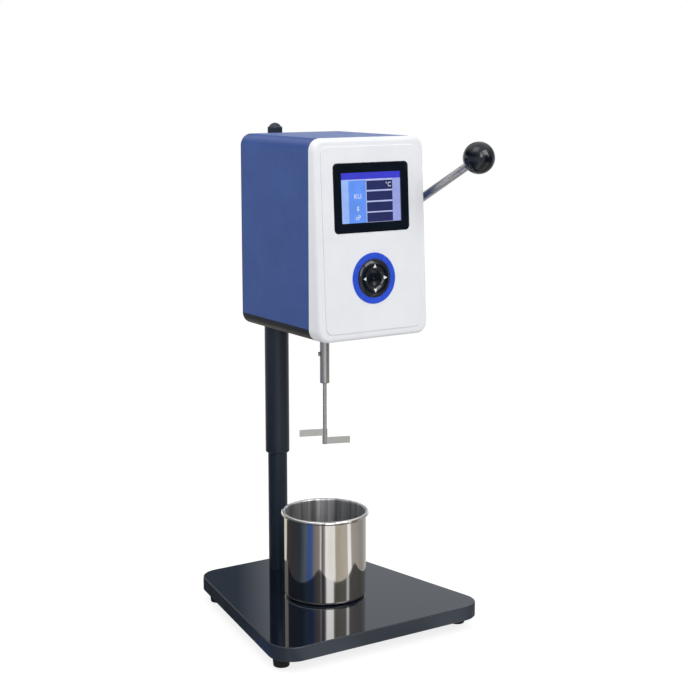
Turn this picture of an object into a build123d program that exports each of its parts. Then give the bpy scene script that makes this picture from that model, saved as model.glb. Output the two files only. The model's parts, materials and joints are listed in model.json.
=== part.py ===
from build123d import *
import os
from math import acos, cos, pi, radians, sin, sqrt, tan

# A bench viscometer for paint: a drive head that a side lever lowers down a fixed column,
# so that the turning paddle dips into a steel cup on the base plate.
# Millimetres. The origin is on the bench, under the spindle; +X is right, +Y is to the
# column, +Z is up. The head is raised, as stored.

# Fits and gaps
press_gap = 0.05
running_gap = 0.05
loose_gap = 0.3
screw_gap = 0.25
socket_share = 0.85
screw_tip_gap = 1.0

# Base plate and feet
foot_h = 12.0
foot_top_r = 9.2
foot_low_r = 8.0
foot_edge = 0.8
foot_screw_r = 2.5
foot_screw_head_r = 4.4
foot_screw_head_h = 3.0
foot_screw_bite = 9.0
front_foot_inset = 28.0
rear_foot_inset = 26.0
foot_side_inset = 14.5
plate_t = 15.0
plate_depth = 250.0
plate_front_w = 256.0
plate_back_w = 166.0
plate_corner_r = 24.0
plate_edge = 1.2

# Column with its rack
column_y = 98.0
column_inset = 34.0
column_r = 10.6
column_top_z = 508.0
column_seat = 6.0
column_screw_r = 4.0
column_screw_head_r = 6.5
column_screw_head_h = 4.7
column_screw_bite = 20.0
stud_r = 4.0
stud_h = 9.0
gear_module = 2.0
pinion_teeth = 50
pressure_angle = 20.0
backlash = 0.12
root_share = 1.25
mesh_gap = 0.1
rack_depth = 1.0
rack_spare = 4

# Cap nut
cap_flats = 15.6
cap_hex_h = 9.6
cap_dome_h = 3.6
cap_chamfer = 1.6
cap_washer_t = 1.5
cap_washer_r = 8.9
hex_sides = 6

# Lift
travel = 125.6
lever_angle = 26.0
lever_length = 213.4
lever_axis_z = 401.4

# Sleeve and bushes
sleeve_r = 13.2
sleeve_wall = 1.8
sleeve_low_z = 162.0
sleeve_top_z = 478.0
sleeve_chamfer = 0.8
sleeve_bush_h = 26.0
sleeve_bush_inset = 1.5

# Head case
head_w = 130.0
head_h = 196.5
head_low_z = 317.5
head_back_y = 57.5
head_corner_r = 12.0
seam_y = -74.0
case_wall = 2.0
tray_h = 12.0
lip_t = 1.5
lip_depth = 4.0
lip_gap = 0.2
back_panel_t = 1.5
back_panel_edge = 0.7

# Front bezel, which leans back
face_low_y = -93.1
face_lean = 3.38
bezel_wall = 2.5
bezel_edge_r = 4.5
raised_inset = 8.0
raised_h = 1.0
raised_corner_r = 8.0
raised_edge = 0.6

# Tie rods between bezel and back panel
tie_r = 4.0
tie_x = 56.0
tie_inset_z = 10.0
panel_screw_r = 1.5
panel_screw_head_r = 2.8
panel_screw_head_h = 1.8
panel_screw_bite = 12.0
panel_screw_slot = 0.8
tie_boss_r = 5.0

# Screen, up the leaning face
screen_v = 139.0
screen_w = 88.0
screen_h = 67.6
screen_corner_r = 4.5
screen_sink = 1.2
screen_t = 1.6
lcd_w = 70.0
lcd_h = 48.6
lcd_corner_r = 0.8
lcd_body_w = 82.0
lcd_body_h = 61.0
lcd_t = 5.0
lcd_peg_r = 2.0
lcd_peg_inset = 6.0
screen_ledge = 2.0

# Keypad, up the leaning face
keypad_v = 59.9
ring_r = 25.1
pad_r = 18.8
ring_sink = 0.8
ring_t = 1.4
key_split = 0.5
centre_key_r = 8.0
key_flange_t = 1.2
key_flange = 1.8
key_crown = 2.0
key_rim_h = 0.5
key_dish = 0.8
key_edge = 0.4
key_travel = 0.8
switch_w = 6.0
switch_h = 3.15
switch_orbit = 13.2
guide_wall = 1.2
guide_h = 2.4
stem_r = 2.0

# Boards inside the face
board_t = 1.6
board_gap = 8.0
board_w = 100.0
board_h = 80.0
board_boss_r = 3.0
board_boss_inset = 4.0
keypad_board_w = 48.0
pilot_r = 1.2
pilot_depth = 4.0
board_screw_head_r = 2.4
board_screw_head_h = 1.6
chip_w = 12.0
chip_h = 1.8

# Chassis, motor and belt
chassis_t = 3.0
chassis_w = 104.0
chassis_front_y = -66.0
upstand_gap = 8.0
motor_y = -44.0
motor_w = 42.0
motor_h = 40.0
motor_corner = 4.0
motor_boss_r = 11.0
motor_boss_h = 2.0
motor_shaft_r = 2.5
rotor_r = 13.0
rotor_h = 24.0
motor_end_t = 8.0
motor_screw_pitch = 31.0
motor_screw_r = 1.5
motor_screw_head_r = 2.7
motor_screw_head_h = 2.0
bracket_z = 362.0
bracket_t = 3.0
bracket_w = 62.0
bracket_d = 46.0
bracket_foot = 10.0
pulley_z = 348.0
pulley_h = 10.0
pulley_r = 8.0
pulley_flange_r = 11.0
pulley_flange_t = 1.4
belt_t = 1.3
belt_w = 6.0

# Spindle
spindle_shaft_r = 3.0
spindle_shaft_top = 361.0
bearing_r = 7.5
bearing_h = 5.0
housing_r = 11.0
housing_flange_r = 19.0
housing_flange_t = 4.0
housing_h = 23.0
chuck_r = 5.0
chuck_low_z = 256.6
chuck_top_z = 321.0
chuck_bore_depth = 32.0
chuck_shaft_depth = 22.0
chuck_slot_h = 14.0
chuck_chamfer = 0.6
spindle_hole_r = 7.0
chuck_screw_z = 287.4
chuck_screw_r = 1.5
chuck_screw_head_r = 2.2
chuck_screw_out = 1.6
rod_r = 2.0
rod_groove_z = 233.0
rod_groove_h = 1.2
rod_groove_depth = 0.35
paddle_low_z = 191.0
paddle_reach = 27.0
blade_h = 7.1
blade_t = 1.6
blade_step = 9.2
blade_web_w = 5.2
spindle_turn = -20.0

# Carriage that joins the head to the sleeve
flange_w = 68.0
flange_h = 122.0
flange_t = 7.0
flange_corner_r = 8.0
clamp_w = 54.0
clamp_h = 106.0
clamp_wall = 6.0
clamp_split = 0.8
clamp_land = 9.0
clamp_screw_x = 22.4
clamp_screw_r = 2.5
clamp_screw_head_r = 4.25
clamp_screw_head_h = 5.0
clamp_screw_dz = 40.0
clamp_screw_bite = 14.0
flange_screw_x = 26.0
flange_screw_inset = 10.0
cheek_t = 8.0
cheek_r = 13.5
window_gap = 2.0
tension_knob_r = 8.0
tension_knob_h = 9.0
tension_screw_r = 3.0
tension_z = 372.0
tension_pad_h = 3.0
tension_flute_r = 1.6
tension_flutes = 10

# Lever
lever_shaft_r = 5.0
pinion_w = 8.0
pinion_hub_r = 13.0
pinion_hub_w = 13.4
pinion_web_t = 4.0
pinion_web_r = 41.0
pinion_hole_r = 8.5
pinion_hole_orbit = 27.0
pinion_holes = 5
shaft_bush_r = 7.5
shaft_bush_flange_r = 9.5
shaft_bush_flange_t = 1.5
shaft_collar_r = 9.0
shaft_collar_w = 8.0
side_bush_r = 8.0
side_bush_flange_r = 11.0
side_bush_flange_t = 1.5
lever_x = 80.0
hub_r = 12.5
hub_w = 26.0
hub_edge = 1.5
hub_cap = 4.0
lever_rod_low_r = 4.65
lever_rod_top_r = 4.0
lever_rod_seat = 6.5
knob_r = 15.75
knob_neck_r = 6.5
knob_neck_h = 1.6
knob_bore_depth = 16.0
hub_screw_r = 2.5
hub_screw_h = 6.0

# Cup
cup_r = 43.5
cup_h = 92.0
cup_wall = 1.0
cup_corner_r = 4.0
bead_r = 2.0

# Mains side, on the back panel
inlet_x = -48.5
inlet_z = 370.0
inlet_w = 22.5
inlet_h = 48.0
inlet_flange_t = 2.5
inlet_body_w = 20.0
inlet_body_h = 27.0
inlet_body_d = 24.0
inlet_recess_w = 15.5
inlet_recess_h = 23.0
inlet_recess_d = 18.0
inlet_pin_w = 2.0
inlet_pin_h = 4.0
inlet_pin_l = 11.0
inlet_pin_pitch = 7.0
inlet_screw_dz = 20.0
switch_z = 420.0
rocker_case_w = 16.0
rocker_case_h = 22.0
rocker_case_d = 16.0
rocker_frame_t = 2.0
rocker_frame = 1.6
rocker_w = 9.6
rocker_h = 14.6
rocker_pivot_r = 1.5
rocker_pivot_depth = 3.0
rocker_deep = 3.2
rocker_crown = 5.0
rocker_hollow = 3.4
rocker_swing_gap = 1.1
rocker_angle = 20.0
supply_w = 26.0
supply_d = 66.0
supply_h = 30.0
supply_x = -38.0
supply_y = 13.0
supply_edge = 1.2

# Places worked out from the sizes above
plate_top_z = foot_h + plate_t
plate_back_y = column_y + column_inset
plate_front_y = plate_back_y - plate_depth
plate_taper = (plate_front_w - plate_back_w) / 2 / plate_depth
column_foot_z = plate_top_z - column_seat
pinion_r = gear_module * pinion_teeth / 2
rack_tip_y = column_y - column_r + rack_depth
rack_pitch_y = rack_tip_y + gear_module
rack_root_y = rack_pitch_y + root_share * gear_module
lever_axis_y = rack_pitch_y - pinion_r - mesh_gap
rack_pitch = pi * gear_module
head_top_z = head_low_z + head_h
head_mid_z = head_low_z + head_h / 2
tray_seam_z = head_low_z + tray_h
panel_y = head_back_y - back_panel_t
clamp_mid_z = lever_axis_z
chassis_z = head_low_z + case_wall
chassis_top_z = chassis_z + chassis_t
housing_z = chassis_top_z
lean = radians(face_lean)
face_h = head_h / cos(lean)
face = Plane(origin=(0, face_low_y, head_low_z), x_dir=(1, 0, 0), z_dir=(0, -cos(lean), sin(lean)))
keypad = face * Pos(0, keypad_v, 0)
screen = face * Pos(0, screen_v, 0)
side = Plane.YZ
tip_r = pinion_r + gear_module


def block(x0, x1, y0, y1, z0, z1):
    return Pos((x0 + x1) / 2, (y0 + y1) / 2, (z0 + z1) / 2) * Box(x1 - x0, y1 - y0, z1 - z0)


def rod_z(radius, z0, z1, x=0.0, y=0.0):
    return Pos(x, y, (z0 + z1) / 2) * Cylinder(radius, z1 - z0)


def rod_y(radius, y0, y1, x=0.0, z=0.0):
    return Pos(x, (y0 + y1) / 2, z) * Rot(90, 0, 0) * Cylinder(radius, y1 - y0)


def rod_x(radius, x0, x1, y=0.0, z=0.0):
    return Pos((x0 + x1) / 2, y, z) * Rot(0, 90, 0) * Cylinder(radius, x1 - x0)


def face_rod(place, radius, low, high, x=0.0, y=0.0):
    return place * Pos(x, y, (low + high) / 2) * Cylinder(radius, high - low)


def face_slab(place, width, height, corner, low, high):
    profile = RectangleRounded(width, height, corner)
    return place * Pos(0, 0, low) * extrude(profile, high - low)


def turned(points, axis=Axis.Z):
    outline = make_face(Polyline(*points, close=True))
    return revolve(Plane.XZ * outline, axis)


def upright(y):
    return Plane(origin=(0, y, head_mid_z), x_dir=(1, 0, 0), z_dir=(0, -1, 0))


def head_section(inset, y_back, y_front):
    profile = RectangleRounded(head_w - 2 * inset, head_h - 2 * inset, head_corner_r - inset)
    return extrude(upright(y_back) * profile, y_back - y_front)


def mirrored(xs, zs):
    return [(x, z) for x in xs for z in zs]


def tie_places():
    return mirrored((-tie_x, tie_x), (head_low_z + tie_inset_z, head_top_z - tie_inset_z))


def involute(angle):
    return tan(angle) - angle


def spindle_place():
    return Rot(0, 0, spindle_turn)


# Stand


def plate_outline():
    half_front = plate_front_w / 2
    half_back = plate_back_w / 2
    corners = [
        (-half_front, plate_front_y),
        (half_front, plate_front_y),
        (half_back, plate_back_y),
        (-half_back, plate_back_y),
    ]
    outline = make_face(Polyline(*corners, close=True))
    return fillet(outline.vertices(), plate_corner_r)


def half_width_at(y):
    return plate_front_w / 2 - (y - plate_front_y) * plate_taper


def foot_places():
    places = []
    for y in (plate_front_y + front_foot_inset, plate_back_y - rear_foot_inset):
        reach = half_width_at(y) - foot_side_inset
        places += [(-reach, y), (reach, y)]
    return places


def base_plate():
    plate = Pos(0, 0, foot_h) * extrude(plate_outline(), plate_t)
    plate = fillet(plate.faces().sort_by(Axis.Z)[-1].edges(), plate_edge)
    plate = chamfer(plate.faces().sort_by(Axis.Z)[0].edges(), plate_edge / 2)
    plate -= rod_z(column_r + press_gap, column_foot_z, plate_top_z, y=column_y)
    plate -= rod_z(column_screw_r + screw_gap, foot_h, column_foot_z, y=column_y)
    recess_top = foot_h + column_screw_head_h + screw_gap
    plate -= rod_z(column_screw_head_r + screw_gap, foot_h, recess_top, y=column_y)
    for x, y in foot_places():
        plate -= rod_z(foot_screw_r + press_gap, foot_h, foot_h + foot_screw_bite, x, y)
    return plate


def rubber_feet():
    feet = []
    recess = foot_h / 2
    for x, y in foot_places():
        body = Pos(0, 0, foot_h / 2) * Cone(foot_low_r, foot_top_r, foot_h)
        body = fillet(body.edges().sort_by(Axis.Z)[0], foot_edge)
        body -= rod_z(foot_screw_head_r + screw_gap, 0, recess)
        body -= rod_z(foot_screw_r + screw_gap, recess, foot_h)
        feet.append(Pos(x, y, 0) * body)
    return Compound(feet)


def foot_screws():
    screws = []
    recess = foot_h / 2
    for x, y in foot_places():
        head = rod_z(foot_screw_head_r, recess - foot_screw_head_h, recess)
        shank = rod_z(foot_screw_r, recess, foot_h + foot_screw_bite)
        screws.append(Pos(x, y, 0) * (head + shank))
    return Compound(screws)


def rack_comb():
    # the space between the teeth and in front of them, drawn from the side
    slope = tan(radians(pressure_angle))
    tip_half = rack_pitch / 4 + backlash + gear_module * slope
    root_half = rack_pitch / 4 + backlash - root_share * gear_module * slope
    low_gap = -int(travel / rack_pitch) - rack_spare
    points = [(column_y - 2 * column_r, lever_axis_z + (low_gap - 1) * rack_pitch)]
    points.append((rack_tip_y, points[0][1]))
    for gap in range(low_gap, rack_spare + 1):
        z = lever_axis_z + gap * rack_pitch
        points.append((rack_tip_y, z - tip_half))
        points.append((rack_root_y, z - root_half))
        points.append((rack_root_y, z + root_half))
        points.append((rack_tip_y, z + tip_half))
    top_z = lever_axis_z + (rack_spare + 1) * rack_pitch
    points.append((rack_tip_y, top_z))
    points.append((column_y - 2 * column_r, top_z))
    outline = make_face(Polyline(*points, close=True))
    return extrude(side * outline, column_r, both=True)


def column():
    post = rod_z(column_r, column_foot_z, column_top_z, y=column_y)
    post = chamfer(post.edges().sort_by(Axis.Z)[-1], plate_edge)
    post += rod_z(stud_r, column_top_z, column_top_z + stud_h, y=column_y)
    post -= rod_z(column_screw_r + press_gap, column_foot_z, column_foot_z + column_screw_bite, y=column_y)
    return post - rack_comb()


def column_screw():
    head_z = foot_h + screw_gap
    head = rod_z(column_screw_head_r, head_z, head_z + column_screw_head_h)
    hexagon = RegularPolygon(column_screw_r * socket_share, hex_sides)
    socket = Pos(0, 0, head_z) * extrude(hexagon, column_screw_head_h / 2)
    shank_top = column_foot_z + column_screw_bite - screw_tip_gap
    shank = rod_z(column_screw_r, head_z + column_screw_head_h, shank_top)
    return Pos(0, column_y, 0) * (head + shank - socket)


def cap_washer():
    ring = rod_z(cap_washer_r, column_top_z, column_top_z + cap_washer_t, y=column_y)
    return ring - rod_z(stud_r + screw_gap, column_top_z, column_top_z + cap_washer_t, y=column_y)


def cap_nut():
    low = column_top_z + cap_washer_t
    hexagon = extrude(RegularPolygon(cap_flats / 2, hex_sides, major_radius=False), cap_hex_h + cap_dome_h)
    corner_r = cap_flats / sqrt(3)
    dome_r = cap_flats / 2 - cap_chamfer
    top = cap_hex_h + cap_dome_h
    ball_r = (dome_r**2 + cap_dome_h**2) / (2 * cap_dome_h)
    half_z = top - ball_r + sqrt(ball_r**2 - (dome_r / 2) ** 2)
    envelope = make_face(
        Polyline((0, 0), (corner_r, 0), (corner_r, cap_hex_h - cap_chamfer), (dome_r, cap_hex_h))
        + ThreePointArc((dome_r, cap_hex_h), (dome_r / 2, half_z), (0, top))
        + Line((0, top), (0, 0))
    )
    nut = hexagon & revolve(Plane.XZ * envelope, Axis.Z)
    nut -= rod_z(stud_r + press_gap, 0, stud_h)
    return Pos(0, column_y, low) * nut


# Sleeve and carriage


def pinion_room():
    # the slot that the pinion's rim turns in, through every wall between shaft and rack
    half_w = pinion_w / 2 + window_gap
    return rod_x(tip_r + window_gap, -half_w, half_w, lever_axis_y, lever_axis_z)


def tension_hole():
    return rod_y(tension_screw_r + press_gap, column_y, column_y + sleeve_r + clamp_wall, z=tension_z)


def sleeve():
    tube = rod_z(sleeve_r, sleeve_low_z, sleeve_top_z)
    tube = chamfer(tube.edges(), sleeve_chamfer)
    tube -= rod_z(sleeve_r - sleeve_wall, sleeve_low_z, sleeve_top_z)
    tube = Pos(0, column_y, 0) * tube
    return tube - pinion_room() - tension_hole()


def sleeve_bush(low):
    bush = rod_z(sleeve_r - sleeve_wall - press_gap, low, low + sleeve_bush_h, y=column_y)
    return bush - rod_z(column_r + running_gap, low, low + sleeve_bush_h, y=column_y)


def sleeve_bushes():
    lower = sleeve_bush(sleeve_low_z + sleeve_bush_inset)
    upper = sleeve_bush(sleeve_top_z - sleeve_bush_inset - sleeve_bush_h)
    return Compound([lower, upper])


def clamp_screw_places():
    zs = (clamp_mid_z - clamp_screw_dz, clamp_mid_z + clamp_screw_dz)
    return mirrored((-clamp_screw_x, clamp_screw_x), zs)


def flange_screw_places():
    reach = flange_h / 2 - flange_screw_inset
    zs = (clamp_mid_z - reach, clamp_mid_z + reach)
    return mirrored((-flange_screw_x, flange_screw_x), zs)


def cheek(x0):
    # bearing cheek that reaches into the head beside the pinion
    outline = Pos(lever_axis_y, lever_axis_z) * Circle(cheek_r)
    length = head_back_y - lever_axis_y
    outline += Pos(lever_axis_y + length / 2, lever_axis_z) * Rectangle(length, 2 * cheek_r)
    return Pos(x0, 0, 0) * extrude(side * outline, cheek_t)


def carriage():
    plate = extrude(
        Plane(origin=(0, head_back_y + flange_t, clamp_mid_z), x_dir=(1, 0, 0), z_dir=(0, -1, 0))
        * RectangleRounded(flange_w, flange_h, flange_corner_r),
        flange_t,
    )
    clamp_low = clamp_mid_z - clamp_h / 2
    clamp_top = clamp_mid_z + clamp_h / 2
    jaw_y = column_y - clamp_split / 2
    jaw = block(-clamp_w / 2, clamp_w / 2, head_back_y + flange_t, jaw_y, clamp_low, clamp_top)
    jaw = chamfer(jaw.edges().filter_by(Axis.X), clamp_wall / 3)
    body = plate + jaw
    gap = (pinion_hub_w + 1) / 2
    body += cheek(gap)
    body += cheek(-gap - cheek_t)
    body -= rod_z(sleeve_r + press_gap, clamp_low, clamp_top, y=column_y)
    body -= pinion_room()
    body -= rod_x(shaft_bush_r + press_gap, -gap - cheek_t, gap + cheek_t, lever_axis_y, lever_axis_z)
    body -= rod_x(pinion_hub_r + window_gap, -gap, gap, lever_axis_y, lever_axis_z)
    for x, z in clamp_screw_places():
        body -= rod_y(clamp_screw_r + press_gap, jaw_y - clamp_screw_bite, jaw_y, x, z)
    for x, z in flange_screw_places():
        body -= rod_y(clamp_screw_r + press_gap, head_back_y, head_back_y + flange_t, x, z)
    return body


def carriage_cap():
    cap_y = column_y + clamp_split / 2
    crown = Pos(0, column_y) * Circle(sleeve_r + clamp_wall)
    lands = Pos(0, cap_y + clamp_land / 2) * Rectangle(clamp_w, clamp_land)
    outline = (crown + lands) & Pos(0, cap_y + clamp_w / 2) * Rectangle(clamp_w, clamp_w)
    cap = Pos(0, 0, clamp_mid_z - clamp_h / 2) * extrude(outline, clamp_h)
    cap -= rod_z(sleeve_r + press_gap, clamp_mid_z - clamp_h / 2, clamp_mid_z + clamp_h / 2, y=column_y)
    for x, z in clamp_screw_places():
        cap -= rod_y(clamp_screw_r + screw_gap, cap_y, cap_y + clamp_land, x, z)
    return cap - tension_hole()


def socket_screw(x, z, seat_y, length, radius, head_r, head_h, toward):
    # cap screw along Y; toward is +1 when its head lies behind the seat, -1 in front of it
    shank = rod_y(radius, *sorted((seat_y, seat_y - toward * length)), x, z)
    head = rod_y(head_r, *sorted((seat_y, seat_y + toward * head_h)), x, z)
    mouth = seat_y + toward * head_h
    hexagon = RegularPolygon(radius * socket_share, hex_sides)
    socket = Pos(x, mouth, z) * Rot(90, 0, 0) * extrude(hexagon, head_h / 2, both=True)
    return shank + head - socket


def clamp_screws():
    seat = column_y + clamp_split / 2 + clamp_land
    length = clamp_land + clamp_split + clamp_screw_bite - screw_tip_gap
    sizes = (clamp_screw_r, clamp_screw_head_r, clamp_screw_head_h)
    return Compound([socket_screw(x, z, seat, length, *sizes, 1) for x, z in clamp_screw_places()])


def flange_screws():
    length = back_panel_t + flange_t
    sizes = (clamp_screw_r, clamp_screw_head_r, clamp_screw_head_h)
    return Compound([socket_screw(x, z, panel_y, length, *sizes, -1) for x, z in flange_screw_places()])


def tension_screw():
    # knurled knob that presses a pad on the column, so that the head stays where it is put
    outer = column_y + sleeve_r + clamp_wall
    knob = rod_y(tension_knob_r, outer + 1, outer + 1 + tension_knob_h, z=tension_z)
    knob = chamfer(knob.edges(), plate_edge / 2)
    for step in range(tension_flutes):
        turn = 2 * pi * step / tension_flutes
        flute_x = tension_knob_r * cos(turn)
        flute_z = tension_z + tension_knob_r * sin(turn)
        knob -= rod_y(tension_flute_r, outer + 1, outer + 1 + tension_knob_h, flute_x, flute_z)
    pad_back = column_y + column_r + loose_gap + tension_pad_h
    return knob + rod_y(tension_screw_r, pad_back, outer + 1, z=tension_z)


def tension_pad():
    back = column_y + column_r + loose_gap + tension_pad_h
    low = tension_z - tension_knob_r
    pad = rod_y(tension_screw_r, column_y, back, z=tension_z)
    return pad - rod_z(column_r + loose_gap, low, low + 2 * tension_knob_r, y=column_y)


# Head case


def head_cover():
    cover = head_section(0, panel_y, seam_y) - head_section(case_wall, panel_y, seam_y)
    cover -= block(-head_w, head_w, seam_y, panel_y, head_low_z, tray_seam_z)
    return cover - rod_x(side_bush_r + press_gap, 0, head_w, lever_axis_y, lever_axis_z)


def head_tray():
    tray = head_section(0, panel_y, seam_y) - head_section(case_wall, panel_y, seam_y)
    tray -= block(-head_w, head_w, seam_y, panel_y, tray_seam_z, head_top_z)
    return tray - rod_z(spindle_hole_r, head_low_z, tray_seam_z)


def panel_window(x, z, width, height):
    return block(x - width / 2, x + width / 2, panel_y, head_back_y, z - height / 2, z + height / 2)


def back_panel():
    plate = head_section(0, head_back_y, panel_y)
    plate = fillet(plate.faces().sort_by(Axis.Y)[-1].edges(), back_panel_edge)
    lip_out = case_wall + lip_gap
    lip = head_section(lip_out, panel_y, panel_y - lip_depth)
    lip -= head_section(lip_out + lip_t, panel_y, panel_y - lip_depth)
    panel = plate + lip
    window_w = pinion_hub_w + 1 + 2 * cheek_t + 2 * window_gap
    panel -= pinion_room()
    window_h = 2 * (cheek_r + window_gap)
    panel -= panel_window(0, lever_axis_z, window_w, window_h)
    for x, z in flange_screw_places():
        panel -= rod_y(clamp_screw_r + screw_gap, panel_y, head_back_y, x, z)
    for x, z in tie_places():
        panel -= rod_y(panel_screw_r + screw_gap, panel_y, head_back_y, x, z)
    for x, z in inlet_places():
        panel -= rod_y(panel_screw_r + screw_gap, panel_y, head_back_y, x, z)
    spare = 2 * screw_gap
    panel -= panel_window(inlet_x, inlet_z, inlet_body_w + spare, inlet_body_h + spare)
    rim = 2 * rocker_frame - spare
    return panel - panel_window(inlet_x, switch_z, rocker_case_w - rim, rocker_case_h - rim)


def tie_rods():
    rods = []
    for x, z in tie_places():
        rod = rod_y(tie_r, seam_y, panel_y, x, z)
        rods.append(rod - rod_y(panel_screw_r + press_gap, panel_y - panel_screw_bite, panel_y, x, z))
    return Compound(rods)


def panel_screw(x, z, seat_y):
    head_y = seat_y + panel_screw_head_h
    shank = rod_y(panel_screw_r, seat_y - panel_screw_bite, seat_y, x, z)
    head = rod_y(panel_screw_head_r, seat_y, head_y, x, z)
    head = fillet(head.edges().sort_by(Axis.Y)[-1], panel_screw_head_h / 2)
    reach = panel_screw_head_r - panel_screw_slot
    cross_y = head_y - panel_screw_head_h / 2
    half = panel_screw_slot / 2
    cross = block(x - reach, x + reach, cross_y, head_y, z - half, z + half)
    cross += block(x - half, x + half, cross_y, head_y, z - reach, z + reach)
    return shank + head - cross


def panel_screws():
    screws = [panel_screw(x, z, head_back_y) for x, z in tie_places()]
    screws += [panel_screw(x, z, head_back_y + inlet_flange_t) for x, z in inlet_places()]
    return Compound(screws)


def behind_face(depth):
    # everything behind the plane that lies depth under the leaning face
    reach = 2 * head_h
    return face * Pos(0, face_h / 2, -depth - reach / 2) * Box(reach, reach, reach)


def board_places():
    half_w = board_w / 2 - board_boss_inset
    half_h = board_h / 2 - board_boss_inset
    return mirrored((-half_w, half_w), (-half_h, half_h))


def keypad_board_places():
    half = keypad_board_w / 2 - board_boss_inset
    return mirrored((-half, half), (-half, half))


def front_bezel():
    deepest = face_low_y - bezel_edge_r
    shell = head_section(0, seam_y, deepest) & behind_face(0)
    shell = fillet(rim_edges(shell), bezel_edge_r)
    panel_w = head_w - 2 * raised_inset
    panel_h = face_h - 2 * raised_inset
    raised = face_slab(face * Pos(0, face_h / 2, 0), panel_w, panel_h, raised_corner_r, -1, raised_h)
    raised = fillet(raised.edges().group_by(Axis(face.origin, face.z_dir))[-1], raised_edge)
    shell += raised
    shell -= head_section(bezel_wall, seam_y, deepest) & behind_face(bezel_wall)
    lip_out = case_wall + lip_gap
    lip = head_section(lip_out, seam_y + lip_depth, seam_y - lip_depth)
    lip -= head_section(lip_out + lip_t, seam_y + lip_depth, seam_y - lip_depth)
    shell += lip & behind_face(bezel_wall / 2)
    for x, z in tie_places():
        shell += rod_y(tie_boss_r, deepest, seam_y, x, z) & behind_face(bezel_wall / 2)
    for x, v in board_places():
        shell += face_rod(screen, board_boss_r, -board_gap, -bezel_wall / 2, x, v)
        shell -= face_rod(screen, pilot_r, -board_gap, -board_gap + pilot_depth, x, v)
    for x, v in keypad_board_places():
        shell += face_rod(keypad, board_boss_r, -board_gap, -bezel_wall / 2, x, v)
        shell -= face_rod(keypad, pilot_r, -board_gap, -board_gap + pilot_depth, x, v)
    sink_w = screen_w + 2 * press_gap
    sink_h = screen_h + 2 * press_gap
    shell -= face_slab(screen, sink_w, sink_h, screen_corner_r, raised_h - screen_sink, raised_h + 1)
    open_w = screen_w - 2 * screen_ledge
    open_h = screen_h - 2 * screen_ledge
    shell -= face_slab(screen, open_w, open_h, screen_corner_r, -bezel_wall - 1, raised_h)
    shell -= face_rod(keypad, ring_r + press_gap, raised_h - ring_sink, raised_h + 1)
    shell -= face_rod(keypad, pad_r + loose_gap, -bezel_wall - 1, raised_h)
    return shell


def rim_edges(shell):
    front = [f for f in shell.faces() if f.normal_at(f.center()).dot(face.z_dir) > 1 - raised_edge / head_h]
    return front[0].edges()


def screen_frame():
    low = raised_h - screen_sink
    frame = face_slab(screen, screen_w, screen_h, screen_corner_r, low, low + screen_t)
    outer_face = frame.faces().sort_by(Axis(face.origin, face.z_dir))[-1]
    frame = fillet(outer_face.edges(), screen_t / 4)
    return frame - face_slab(screen, lcd_w, lcd_h, lcd_corner_r, -lcd_t, raised_h + screen_t)


def lcd_module():
    front = raised_h - screen_sink
    body = face_slab(screen, lcd_body_w, lcd_body_h, lcd_corner_r, front - lcd_t, front)
    for x, v in mirrored((-1, 1), (-1, 1)):
        peg_x = x * (lcd_body_w / 2 - lcd_peg_inset)
        peg_v = v * (lcd_body_h / 2 - lcd_peg_inset)
        body += face_rod(screen, lcd_peg_r, -board_gap, front - lcd_t, peg_x, peg_v)
    return body


def main_board():
    board = face_slab(screen, board_w, board_h, lcd_peg_r, -board_gap - board_t, -board_gap)
    for x, v in board_places():
        board -= face_rod(screen, pilot_r + screw_gap, -board_gap - board_t, -board_gap, x, v)
    chip_low = -board_gap - board_t - chip_h
    for x, v in mirrored((-board_w / 4, board_w / 4), (-board_h / 5, board_h / 5)):
        board += screen * Pos(x, v, chip_low + chip_h / 2) * Box(chip_w, chip_w, chip_h)
    return board


def keypad_board():
    board = face_slab(keypad, keypad_board_w, keypad_board_w, lcd_peg_r, -board_gap - board_t, -board_gap)
    for x, v in keypad_board_places():
        board -= face_rod(keypad, pilot_r + screw_gap, -board_gap - board_t, -board_gap, x, v)
    for x, v in ((switch_orbit, 0), (-switch_orbit, 0), (0, switch_orbit), (0, -switch_orbit)):
        board += keypad * Pos(x, v, -board_gap + switch_h / 2 - press_gap) * Box(switch_w, switch_w, switch_h)
    guide = face_rod(keypad, stem_r + loose_gap + guide_wall, -board_gap, -board_gap + guide_h)
    return board + guide - face_rod(keypad, stem_r + loose_gap, -board_gap, -board_gap + guide_h)


def board_screws():
    screws = []
    back = -board_gap - board_t
    for place, spots in ((screen, board_places()), (keypad, keypad_board_places())):
        for x, v in spots:
            shank = face_rod(place, pilot_r, back, -board_gap + pilot_depth - 1, x, v)
            screws.append(shank + face_rod(place, board_screw_head_r, back - board_screw_head_h, back, x, v))
    return Compound(screws)


# Keypad


def keypad_ring():
    low = raised_h - ring_sink
    ring = face_rod(keypad, ring_r, low, low + ring_t)
    ring = fillet(ring.edges().group_by(Axis(face.origin, face.z_dir))[-1], ring_t / 4)
    return ring - face_rod(keypad, pad_r + loose_gap, low, low + ring_t)


def pad_ring():
    # the raised annulus that the four direction keys are cut from
    inner = centre_key_r + loose_gap
    crest = (inner + pad_r) / 2
    low = -bezel_wall - loose_gap - key_flange_t
    rim = raised_h + key_rim_h
    outline = make_face(
        Polyline(
            (inner, rim), (inner, low), (pad_r + key_flange, low),
            (pad_r + key_flange, low + key_flange_t), (pad_r, low + key_flange_t), (pad_r, rim),
        )
        + ThreePointArc((pad_r, rim), (crest, rim + key_crown), (inner, rim))
    )
    return revolve(Plane.XZ * outline, Axis.Z)


def direction_key(turn):
    span = 3 * pad_r
    shift = (span + key_split) / 2
    quadrant = Rot(0, 0, 45) * Pos(shift, shift, 0) * Box(span, span, span)
    return keypad * Rot(0, 0, turn) * (pad_ring() & quadrant)


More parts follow.
